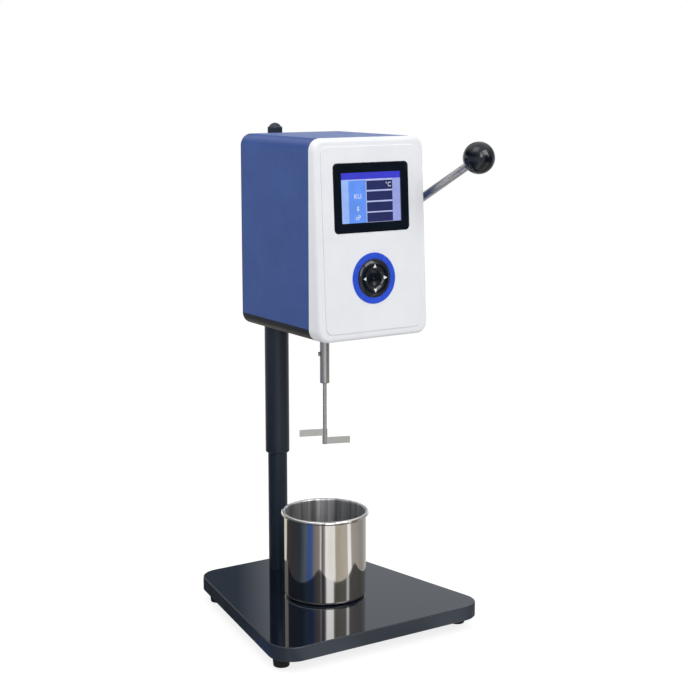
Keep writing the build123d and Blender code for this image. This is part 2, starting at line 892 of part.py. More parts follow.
def key_up():
    return direction_key(0)


def key_left():
    return direction_key(90)


def key_down():
    return direction_key(180)


def key_right():
    return direction_key(270)


def key_centre():
    low = -bezel_wall - loose_gap - key_flange_t
    stem_low = -board_gap + key_travel + loose_gap
    rim = raised_h + key_rim_h
    key = Pos(0, 0, (low + rim) / 2) * Cylinder(centre_key_r, rim - low)
    key = fillet(key.edges().sort_by(Axis.Z)[-1], key_edge)
    key += rod_z(stem_r, stem_low, low)
    dish_r = (centre_key_r - 2 * key_edge) ** 2 / (2 * key_dish) + key_dish / 2
    key -= Pos(0, 0, rim - key_dish + dish_r) * Sphere(dish_r)
    return keypad * key


# Chassis and drive


def chassis_plate():
    half_w = chassis_w / 2
    back_y = panel_y - lip_depth - lip_gap
    floor = block(-half_w, half_w, chassis_front_y, back_y, chassis_z, chassis_top_z)
    floor = fillet(floor.edges().filter_by(Axis.Z), chassis_t)
    inner = head_low_z + case_wall + lip_gap + lip_t + lip_gap
    half_w -= chassis_t
    tongue = block(-half_w, half_w, panel_y - 2 * lip_depth, panel_y, inner, inner + chassis_t)
    lowest_screw_z = clamp_mid_z - flange_h / 2 + flange_screw_inset
    top = lowest_screw_z - clamp_screw_head_r - upstand_gap
    upstand = block(-flange_w / 2, flange_w / 2, panel_y - chassis_t, panel_y, inner, top)
    floor += tongue + upstand
    return floor - rod_z(spindle_hole_r, chassis_z, chassis_top_z)


def bearing_housing():
    low = housing_z
    body = rod_z(housing_r, low, low + housing_h)
    flange = rod_z(housing_flange_r, low, low + housing_flange_t)
    body = body + flange
    body -= rod_z(spindle_shaft_r + 2 * loose_gap, low, low + housing_h)
    for seat in bearing_seats():
        body -= rod_z(bearing_r + press_gap, seat, seat + bearing_h)
    return body


def bearing_seats():
    return (housing_z + housing_flange_t - chassis_t, housing_z + housing_h - bearing_h)


def spindle_bearings():
    rings = []
    for seat in bearing_seats():
        ring = rod_z(bearing_r, seat, seat + bearing_h)
        rings.append(ring - rod_z(spindle_shaft_r + running_gap, seat, seat + bearing_h))
    return Compound(rings)


def motor_bracket():
    half_w = bracket_w / 2
    y0 = motor_y - bracket_d / 2
    y1 = motor_y + bracket_d / 2
    top = bracket_z + bracket_t
    bridge = block(-half_w, half_w, y0, y1, chassis_top_z, top)
    inner = half_w - bracket_t
    bridge -= block(-inner, inner, y0, y1, chassis_top_z, bracket_z)
    for x in (-half_w - bracket_foot, half_w):
        bridge += block(x, x + bracket_foot, y0, y1, chassis_top_z, chassis_top_z + bracket_t)
    bridge -= rod_z(motor_boss_r + screw_gap, bracket_z, top, y=motor_y)
    for dx, dy in motor_screw_places():
        bridge -= rod_z(motor_screw_r + screw_gap, bracket_z, top, dx, motor_y + dy)
    return bridge


def motor_screw_places():
    half = motor_screw_pitch / 2
    return mirrored((-half, half), (-half, half))


def drive_motor():
    low = bracket_z + bracket_t
    profile = chamfer(Rectangle(motor_w, motor_w).vertices(), motor_corner)
    body = Pos(0, motor_y, low) * extrude(profile, motor_h)
    body += rod_z(motor_boss_r, low - motor_boss_h, low, y=motor_y)
    body -= rod_z(motor_shaft_r + running_gap, low - motor_boss_h, low + motor_h - motor_end_t / 2, y=motor_y)
    body -= rod_z(rotor_r + loose_gap, low + motor_end_t, low + motor_h - motor_end_t, y=motor_y)
    for dx, dy in motor_screw_places():
        body -= rod_z(motor_screw_r + press_gap, low, low + motor_boss_h * 3, dx, motor_y + dy)
    return body


def motor_screws():
    screws = []
    for dx, dy in motor_screw_places():
        shank = rod_z(motor_screw_r, bracket_z, bracket_z + bracket_t + motor_boss_h * 2, dx, motor_y + dy)
        head = rod_z(motor_screw_head_r, bracket_z - motor_screw_head_h, bracket_z, dx, motor_y + dy)
        screws.append(shank + head)
    return Compound(screws)


def pulley(y, bore_r):
    low = pulley_z
    top = pulley_z + pulley_h
    drum = rod_z(pulley_r, low, top, y=y)
    drum += rod_z(pulley_flange_r, low, low + pulley_flange_t, y=y)
    drum += rod_z(pulley_flange_r, top - pulley_flange_t, top, y=y)
    return drum - rod_z(bore_r + press_gap, low, top, y=y)


def motor_pulley():
    return pulley(motor_y, motor_shaft_r)


def motor_shaft():
    # shaft with the rotor's core, which turns inside the motor
    low = bracket_z + bracket_t
    middle = low + motor_h / 2
    shaft = rod_z(motor_shaft_r, pulley_z, low + motor_h - motor_end_t / 2 - loose_gap, y=motor_y)
    core = rod_z(rotor_r, middle - rotor_h / 2 + loose_gap, middle + rotor_h / 2 - loose_gap, y=motor_y)
    return shaft + core


def spindle_pulley():
    return pulley(0, spindle_shaft_r)


def belt_loop(radius):
    span = abs(motor_y)
    return Pos(0, motor_y / 2) * Rot(0, 0, 90) * SlotCenterToCenter(span, 2 * radius)


def drive_belt():
    inner_r = pulley_r + loose_gap
    loop = belt_loop(inner_r + belt_t) - belt_loop(inner_r)
    return Pos(0, 0, pulley_z + (pulley_h - belt_w) / 2) * extrude(loop, belt_w)


# Spindle


def spindle_shaft():
    return rod_z(spindle_shaft_r, chuck_top_z - chuck_shaft_depth, spindle_shaft_top)


def spindle_chuck():
    tube = rod_z(chuck_r, chuck_low_z, chuck_top_z)
    tube = chamfer(tube.edges(), chuck_chamfer)
    tube -= rod_z(rod_r + press_gap, chuck_low_z, chuck_low_z + chuck_bore_depth)
    tube -= rod_z(spindle_shaft_r + press_gap, chuck_top_z - chuck_shaft_depth, chuck_top_z)
    slot = block(-chuck_r, chuck_r, -screw_gap, screw_gap, chuck_low_z, chuck_low_z + chuck_slot_h)
    tube -= slot
    tube -= rod_x(chuck_screw_r + press_gap, -chuck_r, 0, z=chuck_screw_z)
    return spindle_place() * tube


def chuck_screw():
    start = rod_r + loose_gap
    shank = rod_x(chuck_screw_r, -chuck_r, -start, z=chuck_screw_z)
    head = rod_x(chuck_screw_head_r, -chuck_r - chuck_screw_out, -chuck_r, z=chuck_screw_z)
    return spindle_place() * (shank + head)


def paddle():
    top = chuck_low_z + chuck_bore_depth - 1
    rod = rod_z(rod_r, paddle_low_z, top)
    groove = rod_z(rod_r, rod_groove_z - rod_groove_h / 2, rod_groove_z + rod_groove_h / 2)
    groove -= rod_z(rod_r - rod_groove_depth, rod_groove_z - rod_groove_h, rod_groove_z + rod_groove_h)
    rod -= groove
    low = paddle_low_z
    web_half = blade_web_w / 2
    blades = block(-web_half, paddle_reach, -blade_t / 2, blade_t / 2, low, low + blade_h)
    high = low + blade_step
    blades += block(-paddle_reach, web_half, -blade_t / 2, blade_t / 2, high, high + blade_h)
    blades += block(-web_half, web_half, -blade_t / 2, blade_t / 2, low, high + blade_h)
    return spindle_place() * (rod + blades)


# Lever


def lever_place():
    return Pos(0, lever_axis_y, lever_axis_z)


def shaft_left_x():
    return -(pinion_hub_w + 1) / 2 - cheek_t - shaft_bush_flange_t - loose_gap - shaft_collar_w


def lever_shaft():
    right = lever_x + hub_w / 2 - hub_cap
    return lever_place() * rod_x(lever_shaft_r, shaft_left_x(), right)


def tooth_half_angle(radius):
    base_r = pinion_r * cos(radians(pressure_angle))
    at_pitch = pi / (2 * pinion_teeth) - backlash / pinion_r
    rolled = acos(min(base_r / radius, 1))
    return at_pitch + involute(radians(pressure_angle)) - involute(rolled)


def pinion_outline():
    root_r = pinion_r - root_share * gear_module
    flank = [root_r, pinion_r, tip_r]
    points = []
    for tooth in range(pinion_teeth):
        middle = 2 * pi * tooth / pinion_teeth
        for radius in flank:
            turn = middle - tooth_half_angle(radius)
            points.append((radius * cos(turn), radius * sin(turn)))
        for radius in reversed(flank):
            turn = middle + tooth_half_angle(radius)
            points.append((radius * cos(turn), radius * sin(turn)))
    return make_face(Polyline(*points, close=True))


def lift_pinion():
    gear = Pos(-pinion_w / 2, 0, 0) * extrude(side * pinion_outline(), pinion_w)
    sink = (pinion_w - pinion_web_t) / 2
    for x0 in (-pinion_w / 2, pinion_w / 2 - sink):
        gear -= rod_x(pinion_web_r, x0, x0 + sink)
    gear += rod_x(pinion_hub_r, -pinion_hub_w / 2, pinion_hub_w / 2)
    for step in range(pinion_holes):
        turn = 2 * pi * step / pinion_holes
        y = pinion_hole_orbit * cos(turn)
        z = pinion_hole_orbit * sin(turn)
        gear -= rod_x(pinion_hole_r, -pinion_w, pinion_w, y, z)
    gear -= rod_x(lever_shaft_r + press_gap, -pinion_w, pinion_w)
    return lever_place() * gear


def shaft_bushes():
    bushes = []
    inner = (pinion_hub_w + 1) / 2
    for sign in (-1, 1):
        body = rod_x(shaft_bush_r, *sorted((sign * inner, sign * (inner + cheek_t))))
        outer = sign * (inner + cheek_t)
        body += rod_x(shaft_bush_flange_r, *sorted((outer, outer + sign * shaft_bush_flange_t)))
        body -= rod_x(lever_shaft_r + running_gap, -4 * inner, 4 * inner)
        bushes.append(lever_place() * body)
    return Compound(bushes)


def shaft_collar():
    left = shaft_left_x()
    ring = rod_x(shaft_collar_r, left, left + shaft_collar_w)
    ring = chamfer(ring.edges(), hub_edge / 2)
    return lever_place() * (ring - rod_x(lever_shaft_r + press_gap, left, left + shaft_collar_w))


def side_bush():
    wall_x = head_w / 2
    body = rod_x(side_bush_r, wall_x - case_wall - 2, wall_x)
    flange = rod_x(side_bush_flange_r, wall_x, wall_x + side_bush_flange_t)
    flange = fillet(flange.edges().sort_by(Axis.X)[-1], side_bush_flange_t / 2)
    body = body + flange
    return lever_place() * (body - rod_x(lever_shaft_r + running_gap, 0, head_w))


def lever_hub():
    left = lever_x - hub_w / 2
    right = lever_x + hub_w / 2
    hub = rod_x(hub_r, left, right)
    hub = fillet(hub.edges(), hub_edge)
    hub -= rod_x(lever_shaft_r + press_gap, left, right - hub_cap)
    hub -= along_lever(lever_rod_low_r + press_gap, hub_r - lever_rod_seat, hub_r)
    hub -= along_lever(hub_screw_r + press_gap, -hub_r, -lever_shaft_r)
    return lever_place() * hub


def along_lever(radius, start, end):
    # a rod from start to end along the lever's line, measured from the shaft's axis
    rod = Pos(0, 0, (start + end) / 2) * Cylinder(radius, end - start)
    return Pos(lever_x, 0, 0) * Rot(90 - lever_angle, 0, 0) * rod


def hub_screw():
    screw = along_lever(hub_screw_r, -lever_shaft_r - press_gap - hub_screw_h, -lever_shaft_r - press_gap)
    return lever_place() * screw


def lever_rod():
    start = hub_r - lever_rod_seat
    waist = hub_r + 2
    end = lever_length - knob_r + knob_bore_depth - screw_tip_gap
    outline = [
        (0, start), (lever_rod_low_r, start), (lever_rod_low_r, waist),
        (lever_rod_top_r, lever_length - knob_r), (lever_rod_top_r, end), (0, end),
    ]
    rod = turned(outline)
    return lever_place() * Pos(lever_x, 0, 0) * Rot(90 - lever_angle, 0, 0) * rod


def lever_knob():
    ball = Sphere(knob_r)
    neck = Pos(0, 0, -knob_r + knob_neck_h / 2) * Cylinder(knob_neck_r, knob_neck_h * 2)
    ball = ball + neck
    ball -= Pos(0, 0, -knob_r - knob_neck_h - knob_r) * Box(4 * knob_r, 4 * knob_r, 2 * knob_r)
    bore_low = -knob_r - knob_neck_h
    ball -= rod_z(lever_rod_top_r + 2 * press_gap, bore_low, -knob_r + knob_bore_depth)
    ball = Pos(0, 0, lever_length) * ball
    return lever_place() * Pos(lever_x, 0, 0) * Rot(90 - lever_angle, 0, 0) * ball


# Cup


def sample_cup():
    inner_r = cup_r - cup_wall
    top = cup_h - bead_r
    outline = Polyline((0, 0), (cup_r - cup_corner_r, 0))
    outline += JernArc((cup_r - cup_corner_r, 0), (1, 0), cup_corner_r, 90)
    outline += Polyline((cup_r, cup_corner_r), (cup_r, top - bead_r))
    outline += Line((cup_r, top - bead_r), (cup_r, top))
    outline += Line((cup_r, top), (inner_r, top))
    outline += Line((inner_r, top), (inner_r, cup_corner_r))
    inner_corner = cup_corner_r - cup_wall
    outline += JernArc((inner_r, cup_corner_r), (0, -1), inner_corner, -90)
    outline += Polyline((inner_r - inner_corner, cup_wall), (0, cup_wall), (0, 0))
    body = revolve(Plane.XZ * make_face(outline), Axis.Z)
    bead = Pos(0, 0, top) * Torus(cup_r - cup_wall + bead_r, bead_r)
    return Pos(0, 0, plate_top_z) * (body + bead)


# Mains side


def inlet_places():
    return [(inlet_x, inlet_z - inlet_screw_dz), (inlet_x, inlet_z + inlet_screw_dz)]


def power_inlet():
    plane = Plane(origin=(inlet_x, head_back_y + inlet_flange_t, inlet_z), x_dir=(1, 0, 0), z_dir=(0, -1, 0))
    flange = extrude(plane * RectangleRounded(inlet_w, inlet_h, inlet_flange_t), inlet_flange_t)
    body = extrude(plane * Rectangle(inlet_body_w, inlet_body_h), inlet_body_d)
    recess = Rectangle(inlet_recess_w, inlet_recess_h)
    recess = chamfer(recess.vertices().group_by(Axis.X)[0], inlet_flange_t)
    inlet = flange + body
    inlet -= extrude(plane * recess, inlet_recess_d)
    floor_y = head_back_y + inlet_flange_t - inlet_recess_d
    for step in (-1, 0, 1):
        z = inlet_z + step * inlet_pin_pitch
        shift = inlet_pin_w if step == 0 else -inlet_pin_w / 2
        x0 = inlet_x + shift - inlet_pin_w / 2
        low = z - inlet_pin_h / 2
        inlet += block(x0, x0 + inlet_pin_w, floor_y, floor_y + inlet_pin_l, low, low + inlet_pin_h)
    for x, z in inlet_places():
        inlet -= rod_y(panel_screw_r + screw_gap, head_back_y, head_back_y + inlet_flange_t, x, z)
    return inlet


def switch_case():
    plane = Plane(origin=(inlet_x, head_back_y + rocker_frame_t, switch_z), x_dir=(1, 0, 0), z_dir=(0, -1, 0))
    rim = extrude(plane * RectangleRounded(rocker_case_w, rocker_case_h, rocker_frame / 2), rocker_frame_t)
    body_w = rocker_case_w - 2 * rocker_frame
    body_h = rocker_case_h - 2 * rocker_frame
    body = extrude(plane * Rectangle(body_w, body_h), rocker_case_d)
    case = rim + body
    half_h = rocker_h / 2 + rocker_swing_gap
    half_w = rocker_w / 2 + loose_gap
    floor_y = -rocker_deep - 2 * loose_gap
    well = block(-half_w, half_w, floor_y, rocker_case_d, -half_h, half_h)
    pivot = rod_x(rocker_pivot_r + 2 * running_gap, -body_w / 2, body_w / 2, y=0)
    return case - Pos(inlet_x, rocker_pivot_y(), switch_z) * (well + pivot)


def rocker_pivot_y():
    return head_back_y + rocker_frame_t - rocker_pivot_depth


def power_switch():
    # rocker with its lower half pressed in; the pivot runs along X
    half = rocker_h / 2
    back_y = -rocker_deep / 2
    outline = make_face(
        Polyline((back_y, -half / 2), (0, -half), (rocker_crown, -half))
        + ThreePointArc((rocker_crown, -half), (rocker_hollow, 0), (rocker_crown, half))
        + Polyline((rocker_crown, half), (0, half), (back_y, half / 2), (back_y, -half / 2))
    )
    rocker = extrude(side * outline, rocker_w / 2, both=True)
    pin_half = (rocker_case_w - 2 * rocker_frame) / 2 - screw_gap
    rocker += rod_x(rocker_pivot_r, -pin_half, pin_half)
    return Pos(inlet_x, rocker_pivot_y(), switch_z) * Rot(-rocker_angle / 2, 0, 0) * rocker


def power_supply():
    box = block(-supply_w / 2, supply_w / 2, -supply_d / 2, supply_d / 2, 0, supply_h)
    box = fillet(box.edges().filter_by(Axis.Z), supply_edge)
    return Pos(supply_x, supply_y, chassis_top_z) * box


makers = [
    base_plate, rubber_feet, foot_screws, column, column_screw, cap_washer, cap_nut,
    sleeve, sleeve_bushes, carriage, carriage_cap, clamp_screws, flange_screws,
    tension_screw, tension_pad,
    head_cover, head_tray, back_panel, tie_rods, panel_screws, front_bezel, screen_frame, lcd_module,
    main_board, keypad_board, board_screws, keypad_ring,
    key_up, key_left, key_down, key_right, key_centre,
    chassis_plate, bearing_housing, spindle_bearings, motor_bracket, drive_motor, motor_screws,
    motor_pulley, motor_shaft, spindle_pulley, drive_belt,
    spindle_shaft, spindle_chuck, chuck_screw, paddle,
    lever_shaft, lift_pinion, shaft_bushes, shaft_collar, side_bush,
    lever_hub, hub_screw, lever_rod, lever_knob,
    sample_cup, power_inlet, switch_case, power_switch, power_supply,
]

os.makedirs("parts", exist_ok=True)
for maker in makers:
    export_step(maker(), f"parts/{maker.__name__}.step")
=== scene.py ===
import json
from math import cos, pi, radians, sin, sqrt, tau

import bmesh
import bpy
from mathutils import Matrix, Vector


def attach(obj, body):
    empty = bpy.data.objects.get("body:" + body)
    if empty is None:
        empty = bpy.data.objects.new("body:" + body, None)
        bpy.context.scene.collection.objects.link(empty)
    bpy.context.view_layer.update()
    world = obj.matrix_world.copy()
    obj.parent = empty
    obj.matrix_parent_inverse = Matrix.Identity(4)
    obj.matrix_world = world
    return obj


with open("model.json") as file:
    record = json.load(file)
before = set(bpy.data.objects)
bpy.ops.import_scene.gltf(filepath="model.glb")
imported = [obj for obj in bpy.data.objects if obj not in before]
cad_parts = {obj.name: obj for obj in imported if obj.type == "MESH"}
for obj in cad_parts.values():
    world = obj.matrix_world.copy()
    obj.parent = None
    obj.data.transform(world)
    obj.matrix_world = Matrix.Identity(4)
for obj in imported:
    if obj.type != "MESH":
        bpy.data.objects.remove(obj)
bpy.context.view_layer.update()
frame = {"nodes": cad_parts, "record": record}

mm = 0.001
least_wall_r = 10 * mm

# The photograph's camera
view_azimuth = radians(-33.12)
view_elevation = radians(10.48)
view_distance = 1.53522
view_target = Vector((0, -36.6, 300.82)) * mm
photo_width_px = 688
focal_px = 1506.4
optical_centre_px = (343.89, 346.5)
film_width = 36.0

# The leaning face, as in the solids
face_foot = Vector((0, -93.1, 317.5)) * mm
face_lean = radians(3.38)
face_up = Vector((0, sin(face_lean), cos(face_lean)))
face_out = Vector((0, -cos(face_lean), sin(face_lean)))

# The lit display
lcd_w = 70.0 * mm
lcd_h = 48.6 * mm
lcd_v = 139.0 * mm
lcd_depth = -0.2 * mm
ink = 0.04 * mm
dimmest_patch = 0.86
unit_size = 6.4 * mm
degree_size = 6.2 * mm
unit_share = 0.28
degree_share = 0.8

# The keypad
keypad_v = 59.9 * mm
key_inner_r = 8.3 * mm
key_outer_r = 18.8 * mm
key_rim = 1.5 * mm
key_crown = 2.0 * mm
arrow_r = 12.2 * mm
arrow_size = 1.9 * mm


# Materials


def srgb(red, green, blue):
    """A colour as it looks on the screen, from 0 to 255, in the shader's linear values."""
    def linear(value):
        share = value / 255
        return share / 12.92 if share <= 0.04045 else ((share + 0.055) / 1.055) ** 2.4
    return (linear(red), linear(green), linear(blue), 1.0)


class Finish:
    """A procedural material built around one Principled shader."""

    def __init__(self, name, color, roughness, **sockets):
        self.material = bpy.data.materials.new(name)
        self.material.use_nodes = True
        self.tree = self.material.node_tree
        self.shader = self.tree.nodes["Principled BSDF"]
        self.shader.inputs["Base Color"].default_value = color
        self.shader.inputs["Roughness"].default_value = roughness
        for key, value in sockets.items():
            self.shader.inputs[key.replace("_", " ")].default_value = value
        self.normal = None

    def add(self, kind):
        return self.tree.nodes.new("ShaderNode" + kind)

    def join(self, start, end):
        self.tree.links.new(start, end)

    def noise(self, grain, stretch=(1, 1, 1), detail=3.0):
        """Noise whose grain is about this many metres across; gives its factor."""
        place = self.add("TexCoord")
        mapping = self.add("Mapping")
        texture = self.add("TexNoise")
        mapping.inputs["Scale"].default_value = stretch
        texture.inputs["Scale"].default_value = 1 / grain
        texture.inputs["Detail"].default_value = detail
        self.join(place.outputs["Object"], mapping.inputs["Vector"])
        self.join(mapping.outputs["Vector"], texture.inputs["Vector"])
        return texture.outputs["Fac"]

    def ranged(self, factor, low, high):
        """The middle of a noise factor spread over low to high."""
        spread = self.add("MapRange")
        spread.inputs["From Min"].default_value = 0.3
        spread.inputs["From Max"].default_value = 0.7
        spread.inputs["To Min"].default_value = low
        spread.inputs["To Max"].default_value = high
        self.join(factor, spread.inputs["Value"])
        return spread.outputs["Result"]

    def blend(self, factor, first, second):
        mix = self.add("Mix")
        mix.data_type = "RGBA"
        mix.inputs["A"].default_value = first
        mix.inputs["B"].default_value = second
        self.join(factor, mix.inputs["Factor"])
        return mix.outputs["Result"]

    def pick(self, factor, first, second, kind):
        mix = self.add("Mix")
        mix.data_type = kind
        for source, socket in ((factor, "Factor"), (first, "A"), (second, "B")):
            self.join(source, next(s for s in mix.inputs if s.name == socket and s.enabled))
        return next(s for s in mix.outputs if s.enabled)

    def facing_axis(self):
        """1 on a wall that faces the spindle's line, and 0 on one that faces away."""
        place = self.add("TexCoord")
        flat = self.add("VectorMath")
        geometry = self.add("NewGeometry")
        toward = self.add("VectorMath")
        inner = self.add("Math")
        flat.operation = "MULTIPLY"
        flat.inputs[1].default_value = (1, 1, 0)
        toward.operation = "DOT_PRODUCT"
        inner.operation = "LESS_THAN"
        inner.inputs[1].default_value = -least_wall_r
        self.join(place.outputs["Object"], flat.inputs[0])
        self.join(flat.outputs["Vector"], toward.inputs[0])
        self.join(geometry.outputs["True Normal"], toward.inputs[1])
        self.join(toward.outputs["Value"], inner.inputs[0])
        return inner.outputs["Value"]

    def colors(self, factor, first, second):
        self.join(self.blend(self.ranged(factor, 0, 1), first, second), self.shader.inputs["Base Color"])
        return self

    def rough(self, factor, low, high):
        self.join(self.ranged(factor, low, high), self.shader.inputs["Roughness"])
        return self

    def soft_edges(self, radius):
        bevel = self.add("Bevel")
        bevel.samples = 4
        bevel.inputs["Radius"].default_value = radius
        self.normal = bevel.outputs["Normal"]
        self.join(self.normal, self.shader.inputs["Normal"])
        return self

    def bumps(self, factor, height):
        bump = self.add("Bump")
        bump.inputs["Strength"].default_value = 1.0
        bump.inputs["Distance"].default_value = height
        self.join(factor, bump.inputs["Height"])
        if self.normal is not None:
            self.join(self.normal, bump.inputs["Normal"])
        self.normal = bump.outputs["Normal"]
        self.join(self.normal, self.shader.inputs["Normal"])
        return self


def powder_coat(name, dark, light, low, high):
    finish = Finish(name, light, low, IOR=1.5)
    finish.colors(finish.noise(40 * mm), dark, light)
    finish.rough(finish.noise(6 * mm), low, high)
    finish.soft_edges(0.35 * mm)
    finish.bumps(finish.noise(0.7 * mm), 0.006 * mm)
    return finish


def machined(name, dark, light, low, high, stretch=(1, 1, 1), soft=0.2):
    finish = Finish(name, light, low, Metallic=1.0)
    finish.colors(finish.noise(3 * mm, stretch), dark, light)
    finish.rough(finish.noise(1.2 * mm, stretch), low, high)
    finish.soft_edges(soft * mm)
    finish.bumps(finish.noise(0.5 * mm, stretch), 0.002 * mm)
    return finish


def moulded(name, dark, light, low, high, soft=0.25, grain=0.4, depth=0.002):
    finish = Finish(name, light, low, IOR=1.5)
    finish.colors(finish.noise(25 * mm), dark, light)
    finish.rough(finish.noise(9 * mm), low, high)
    finish.soft_edges(soft * mm)
    finish.bumps(finish.noise(grain * mm), depth * mm)
    return finish


def lacquered_plate():
    """Black lacquer: a mirror on top, satin round the edge; the sides' lighter colour is painted light."""
    finish = Finish("gloss_black", srgb(20, 24, 30), 0.03, IOR=1.55)
    geometry = finish.add("NewGeometry")
    split = finish.add("SeparateXYZ")
    finish.join(geometry.outputs["True Normal"], split.inputs["Vector"])
    upward = finish.ranged(split.outputs["Z"], 0, 1)
    # Painted light: the sides get a lighter colour than the top, standing in for the light they catch.
    painted_side_light = finish.blend(upward, srgb(34, 44, 58), srgb(13, 20, 32))
    finish.join(painted_side_light, finish.shader.inputs["Base Color"])
    edge_rough = 0.42
    top_rough = 0.025
    satin = finish.add("MapRange")
    satin.inputs["To Min"].default_value = edge_rough
    satin.inputs["To Max"].default_value = top_rough
    finish.join(upward, satin.inputs["Value"])
    smudge = finish.ranged(finish.noise(35 * mm), 0, 0.02)
    total = finish.add("Math")
    finish.join(satin.outputs["Result"], total.inputs[0])
    finish.join(smudge, total.inputs[1])
    finish.join(total.outputs["Value"], finish.shader.inputs["Roughness"])
    return finish


def polished_cup():
    """Mirror polished sheet, with the long faint waves that spinning leaves; the inner wall is darker with
    vertical streaks, which are painted shade and painted reflections.
    """
    finish = Finish("polished_stainless", srgb(226, 223, 217), 0.05, Metallic=1.0)
    inside = finish.facing_axis()
    outer = finish.ranged(finish.noise(12 * mm, (1, 1, 0.15)), 0, 1)
    outer_tone = finish.blend(outer, srgb(214, 211, 205), srgb(232, 229, 224))
    # Painted shade and painted reflections: the inner wall gets a darker colour with vertical streaks.
    reflection_streaks = finish.ranged(finish.noise(5 * mm, (1, 1, 0.02)), 0, 1)
    inner_shade_and_reflections = finish.blend(reflection_streaks, srgb(150, 152, 150), srgb(236, 236, 238))
    finish.join(finish.pick(inside, outer_tone, inner_shade_and_reflections, "RGBA"), finish.shader.inputs["Base Color"])
    shine = finish.ranged(finish.noise(2.5 * mm, (1, 1, 0.04)), 0.03, 0.12)
    satin = finish.ranged(finish.noise(2.5 * mm, (1, 1, 0.04)), 0.36, 0.5)
    finish.join(finish.pick(inside, shine, satin, "FLOAT"), finish.shader.inputs["Roughness"])
    finish.bumps(finish.noise(7 * mm, (1, 1, 0.12), 1.0), 0.02 * mm)
    return finish


def circuit_board():
    finish = Finish("board", srgb(20, 92, 52), 0.35, IOR=1.5)
    finish.colors(finish.noise(1.6 * mm, (1, 1, 1), 0.0), srgb(14, 74, 42), srgb(28, 112, 66))
    finish.bumps(finish.noise(1.6 * mm, (1, 1, 1), 0.0), 0.02 * mm)
    return finish


finishes = {
    "gloss_black": lacquered_plate(),
    "rubber": moulded(
        "rubber", srgb(20, 21, 23), srgb(34, 35, 38),
        low=0.65, high=0.8, soft=0.4, grain=0.8, depth=0.02,
    ),
    "steel": machined(
        "steel", srgb(150, 150, 152), srgb(190, 190, 190),
        low=0.25, high=0.4,
    ),
    "black_steel": powder_coat(
        "black_steel", srgb(20, 33, 48), srgb(25, 40, 56),
        low=0.36, high=0.44,
    ),
    "black_casting": powder_coat(
        "black_casting", srgb(24, 30, 40), srgb(32, 39, 50),
        low=0.4, high=0.5,
    ),
    "bush": moulded(
        "bush", srgb(205, 200, 184), srgb(222, 217, 200),
        low=0.45, high=0.55,
    ),
    "blue_paint": powder_coat(
        "blue_paint", srgb(44, 76, 144), srgb(49, 83, 153),
        low=0.36, high=0.44,
    ),
    "black_paint": powder_coat(
        "black_paint", srgb(17, 25, 37), srgb(23, 33, 47),
        low=0.42, high=0.5,
    ),
    "aluminium": machined(
        "aluminium", srgb(196, 198, 202), srgb(216, 218, 220),
        low=0.3, high=0.42,
    ),
    "white_plastic": moulded(
        "white_plastic", srgb(240, 242, 247), srgb(244, 246, 250),
        low=0.28, high=0.36, soft=0.5,
    ),
    "gloss_black_plastic": moulded(
        "gloss_black_plastic", srgb(10, 16, 24), srgb(15, 22, 32),
        low=0.08, high=0.14, soft=0.35,
    ),
    "display": moulded(
        "display", srgb(28, 30, 40), srgb(36, 38, 50),
        low=0.1, high=0.15,
    ),
    "board": circuit_board(),
    "blue_plastic": moulded(
        "blue_plastic", srgb(40, 78, 210), srgb(48, 88, 222),
        low=0.22, high=0.3,
    ),
    "stainless": machined(
        "stainless", srgb(184, 183, 182), srgb(206, 205, 203),
        low=0.28, high=0.4, stretch=(1, 1, 12),
    ),
    "polished_stainless": polished_cup(),
    "black_plastic": moulded(
        "black_plastic", srgb(22, 23, 26), srgb(32, 33, 36),
        low=0.42, high=0.55,
    ),
}

for part in frame["record"]["subparts"]:
    mesh = frame["nodes"][part["node"]].data
    mesh.materials.clear()
    mesh.materials.append(finishes[part["material_slot"]].material)


# Pieces that only show: the lit picture and the marks on the keys


def lit(name, color, strength=1.0):
    """A glowing patch of the display, a little uneven as such displays are."""
    finish = Finish(name, srgb(6, 7, 10), 0.16, IOR=1.5)
    dimmer = tuple(dimmest_patch * channel for channel in color[:3]) + (1.0,)
    glow = finish.blend(finish.ranged(finish.noise(9 * mm), 0, 1), dimmer, color)
    finish.join(glow, finish.shader.inputs["Emission Color"])
    finish.shader.inputs["Emission Strength"].default_value = strength
    return finish.material


def on_face(x, v, out):
    """The point x to the right, v up the leaning face and out in front of it."""
    return face_foot + Vector((x, 0, 0)) + face_up * v + face_out * out


def flat_piece(name, rectangles, out, material, body):
    """Rectangles (left, right, low, high) of the display, from 0 to 1, as one mesh."""
    mesh = bmesh.new()
    for left, right, low, high in rectangles:
        corners = []
        for share_x, share_v in ((left, low), (right, low), (right, high), (left, high)):
            x = (share_x - 0.5) * lcd_w
            v = lcd_v + (share_v - 0.5) * lcd_h
            corners.append(mesh.verts.new(on_face(x, v, out)))
        mesh.faces.new(corners)
    return finish_piece(name, mesh, material, body)


def finish_piece(name, mesh, material, body):
    mesh.normal_update()
    data = bpy.data.meshes.new(name)
    mesh.to_mesh(data)
    mesh.free()
    data.materials.append(material)
    piece = bpy.data.objects.new(name, data)
    bpy.context.scene.collection.objects.link(piece)
    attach(piece, body)
    return piece


# The picture's layout, as shares of its width and height
header_low = 0.865
header_gap = 0.02
line_w = 0.01
label_left = 0.13
field_left = 0.43
field_right = 0.866
row_starts = [0.645, 0.43, 0.215, 0.005]
row_h = 0.185


